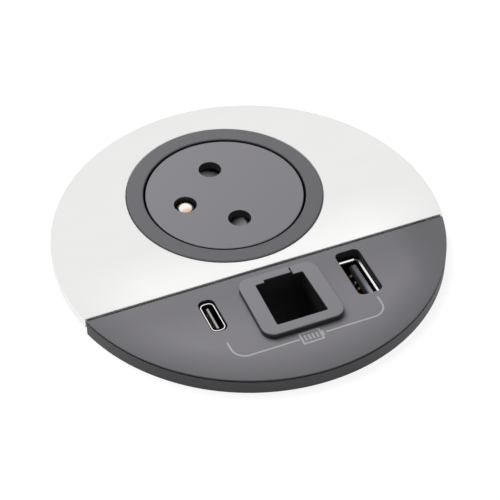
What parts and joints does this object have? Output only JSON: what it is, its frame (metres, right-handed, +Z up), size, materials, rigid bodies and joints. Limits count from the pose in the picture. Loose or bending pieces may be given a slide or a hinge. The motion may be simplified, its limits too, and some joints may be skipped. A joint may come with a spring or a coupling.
{
  "type": "flush desk socket",
  "caption": "Round flush desk socket with a brushed trim plate, a sprung mains face, a black front cover with charging ports and an open module frame, and a barrel clamped below by a ring.",
  "frame": {"origin": "centre of the round desk hole, in the plane of the desk top, where the flange rests", "axes": "+Z up out of the desk; +X along the straight seam, to the right when the ports are nearest the user; +Y to the back, towards the mains socket"},
  "size_m": [0.095, 0.095, 0.051],
  "materials": {
    "brushed_trim": "fine brushed",
    "cover_black": "fine matte texture",
    "socket_black": "fine matte texture",
    "body_black": "moulded",
    "gasket_rubber": "soft",
    "screw_steel": "zinc plated",
    "spring_steel": "drawn wire",
    "block_grey": "moulded",
    "contact_brass": "stamped",
    "pin_nickel": "nickel plated",
    "port_steel": "bright pressed",
    "tongue_grey": "smooth",
    "contact_gold": "plated",
    "board_green": "solder mask",
    "ferrite_black": "ferrite",
    "can_blue": "sleeved can",
    "inlet_white": "moulded",
    "wire_brown": "insulated",
    "wire_blue": "insulated",
    "wire_green": "insulated",
    "shutter_grey": "smooth",
    "washer_steel": "zinc plated"
  },
  "bodies": {
    "base": {"top_plate": "brushed_trim", "port_cover": "cover_black", "deck_plate": "body_black", "housing": "body_black", "flange_gasket": "gasket_rubber", "bottom_cover": "body_black", "bottom_screws": "screw_steel", "socket_ring": "socket_black", "face_spring": "spring_steel", "contact_block": "block_grey", "block_screws": "screw_steel", "live_contact": "contact_brass", "neutral_contact": "contact_brass", "earth_pin": "pin_nickel", "earth_terminal": "contact_brass", "earth_nut": "contact_brass", "module_frame": "cover_black", "usb_c_shell": "port_steel", "usb_c_tongue": "tongue_grey", "usb_c_spacer": "block_grey", "usb_a_shell": "port_steel", "usb_a_tongue": "tongue_grey", "usb_a_contacts": "contact_gold", "charger_board": "board_green", "board_screws": "screw_steel", "charger_transformer": "ferrite_black", "charger_capacitors": "can_blue", "charger_inductor": "ferrite_black", "inlet_shell": "inlet_white", "inlet_pins": "contact_brass", "live_wire": "wire_brown", "neutral_wire": "wire_blue", "earth_wire": "wire_green", "plate_screws": "screw_steel", "cover_screws": "screw_steel"},
    "face": {"socket_face": "socket_black", "shutter_retainer": "block_grey", "retainer_screws": "screw_steel", "shutter_spring": "spring_steel"},
    "shutter": {"safety_shutter": "shutter_grey"},
    "washer": {"clamp_washer": "washer_steel"},
    "ring": {"locking_ring": "body_black"}
  },
  "joints": [
    {"name": "face_slide", "type": "slide", "parent": "base", "child": "face", "axis": [0, 0, -1], "range_m": [0, 0.015], "stiffness_N_per_m": 400, "springref_m": -0.01, "deforming": ["face_spring"]},
    {"name": "shutter_turn", "type": "hinge", "parent": "face", "child": "shutter", "pos_m": [0, 0.01505, 0], "axis": [0, 0, 1], "range_deg": [0, 40], "stiffness_Nm_per_rad": 0.001, "springref_deg": -17.19, "deforming": ["shutter_spring"]},
    {"name": "washer_slide", "type": "slide", "parent": "base", "child": "washer", "axis": [0, 0, 1], "range_m": [-0.009, 0.0125]},
    {"name": "ring_turn", "type": "hinge", "parent": "washer", "child": "ring", "pos_m": [0, 0, -0.0213], "axis": [0, 0, 1], "range_deg": [-810, 1125]}
  ],
  "couplings": [
    {"joint": "washer_slide", "follows": "ring_turn", "m_per_rad": 0.00063662}
  ]
}
